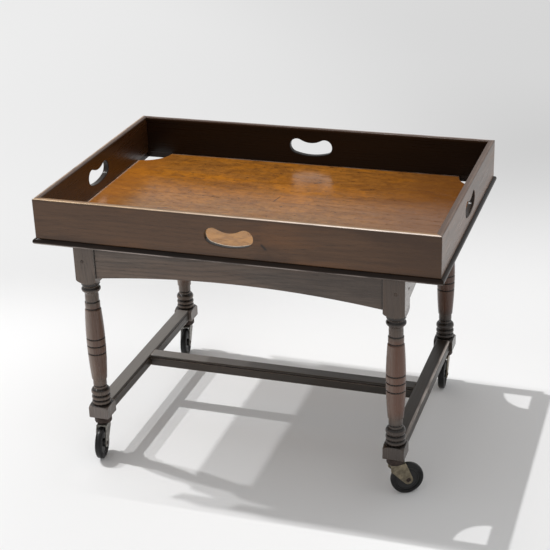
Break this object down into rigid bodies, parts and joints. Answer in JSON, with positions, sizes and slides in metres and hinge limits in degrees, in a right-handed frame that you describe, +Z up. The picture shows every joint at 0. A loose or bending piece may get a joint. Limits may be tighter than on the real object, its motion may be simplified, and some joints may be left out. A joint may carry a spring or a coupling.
{
  "type": "butlers tray table",
  "caption": "Low oak tray table: a gallery tray with kidney-shaped hand holes lifts off a turned stand with arched aprons and an H stretcher on swivel castors.",
  "frame": {"origin": "on the floor under the middle of the tray", "axes": "+X along the length of the tray, +Y from the front to the back, +Z up"},
  "size_m": [0.7708, 0.5427, 0.54],
  "materials": {
    "stand_oak": "aged dark oak, waxed",
    "peg_wood": "dark end grain",
    "wall_oak": "weathered grey-brown oak, worn arrises",
    "moulding_oak": "weathered oak, rubbed nosing",
    "floor_oak": "stained and polished oak, semi-gloss",
    "batten_oak": "plain sawn oak",
    "steel": "dull dark steel",
    "cup_iron": "blackened iron",
    "fork_brass": "tarnished brass, rubbed edges",
    "wheel_iron": "black paint, satin",
    "tyre_rubber": "dull black rubber"
  },
  "bodies": {
    "stand": {"leg_front_left": "stand_oak", "leg_front_right": "stand_oak", "leg_back_left": "stand_oak", "leg_back_right": "stand_oak", "apron_front": "stand_oak", "apron_right": "stand_oak", "apron_back": "stand_oak", "apron_left": "stand_oak", "stretcher_left": "stand_oak", "stretcher_right": "stand_oak", "stretcher_centre": "stand_oak", "apron_pegs": "peg_wood", "stretcher_screws": "steel", "castor_cup_front_left": "cup_iron", "castor_cup_front_right": "cup_iron", "castor_cup_back_left": "cup_iron", "castor_cup_back_right": "cup_iron", "castor_king_pin_front_left": "steel", "castor_king_pin_front_right": "steel", "castor_king_pin_back_left": "steel", "castor_king_pin_back_right": "steel"},
    "tray": {"batten_screws": "steel", "moulding_pins": "steel", "tray_front_wall": "wall_oak", "tray_right_wall": "wall_oak", "tray_back_wall": "wall_oak", "tray_left_wall": "wall_oak", "tray_front_moulding": "moulding_oak", "tray_right_moulding": "moulding_oak", "tray_back_moulding": "moulding_oak", "tray_left_moulding": "moulding_oak", "tray_floor_front": "floor_oak", "tray_floor_middle": "floor_oak", "tray_floor_rear": "floor_oak", "tray_batten_left": "batten_oak", "tray_batten_right": "batten_oak"},
    "castor_fork_front_left": {"castor_fork_front_left": "fork_brass", "castor_washer_front_left": "steel", "castor_axle_front_left": "steel"},
    "castor_wheel_front_left": {"castor_wheel_front_left": "wheel_iron", "castor_tyre_front_left": "tyre_rubber"},
    "castor_fork_front_right": {"castor_fork_front_right": "fork_brass", "castor_washer_front_right": "steel", "castor_axle_front_right": "steel"},
    "castor_wheel_front_right": {"castor_wheel_front_right": "wheel_iron", "castor_tyre_front_right": "tyre_rubber"},
    "castor_fork_back_left": {"castor_fork_back_left": "fork_brass", "castor_washer_back_left": "steel", "castor_axle_back_left": "steel"},
    "castor_wheel_back_left": {"castor_wheel_back_left": "wheel_iron", "castor_tyre_back_left": "tyre_rubber"},
    "castor_fork_back_right": {"castor_fork_back_right": "fork_brass", "castor_washer_back_right": "steel", "castor_axle_back_right": "steel"},
    "castor_wheel_back_right": {"castor_wheel_back_right": "wheel_iron", "castor_tyre_back_right": "tyre_rubber"}
  },
  "joints": [
    {"name": "tray_lift", "type": "slide", "parent": "stand", "child": "tray", "axis": [0, 0, 1], "range_m": [0, 0.1]},
    {"name": "swivel_front_left", "type": "hinge", "parent": "stand", "child": "castor_fork_front_left", "pos_m": [-0.2945, -0.2245, 0.067], "axis": [0, 0, 1], "continuous": true},
    {"name": "roll_front_left", "type": "hinge", "parent": "castor_fork_front_left", "child": "castor_wheel_front_left", "pos_m": [-0.29098, -0.24672, 0.0315], "axis": [0.9877, 0.1564, 0], "continuous": true},
    {"name": "swivel_front_right", "type": "hinge", "parent": "stand", "child": "castor_fork_front_right", "pos_m": [0.2945, -0.2245, 0.067], "axis": [0, 0, 1], "continuous": true},
    {"name": "roll_front_right", "type": "hinge", "parent": "castor_fork_front_right", "child": "castor_wheel_front_right", "pos_m": [0.31379, -0.21291, 0.0315], "axis": [-0.515, 0.8572, 0], "continuous": true},
    {"name": "swivel_back_left", "type": "hinge", "parent": "stand", "child": "castor_fork_back_left", "pos_m": [-0.2945, 0.2245, 0.067], "axis": [0, 0, 1], "continuous": true},
    {"name": "roll_back_left", "type": "hinge", "parent": "castor_fork_back_left", "child": "castor_wheel_back_left", "pos_m": [-0.29059, 0.20234, 0.0315], "axis": [0.9848, 0.1736, 0], "continuous": true},
    {"name": "swivel_back_right", "type": "hinge", "parent": "stand", "child": "castor_fork_back_right", "pos_m": [0.2945, 0.2245, 0.067], "axis": [0, 0, 1], "continuous": true},
    {"name": "roll_back_right", "type": "hinge", "parent": "castor_fork_back_right", "child": "castor_wheel_back_right", "pos_m": [0.29607, 0.20205, 0.0315], "axis": [0.9976, 0.0698, 0], "continuous": true}
  ]
}
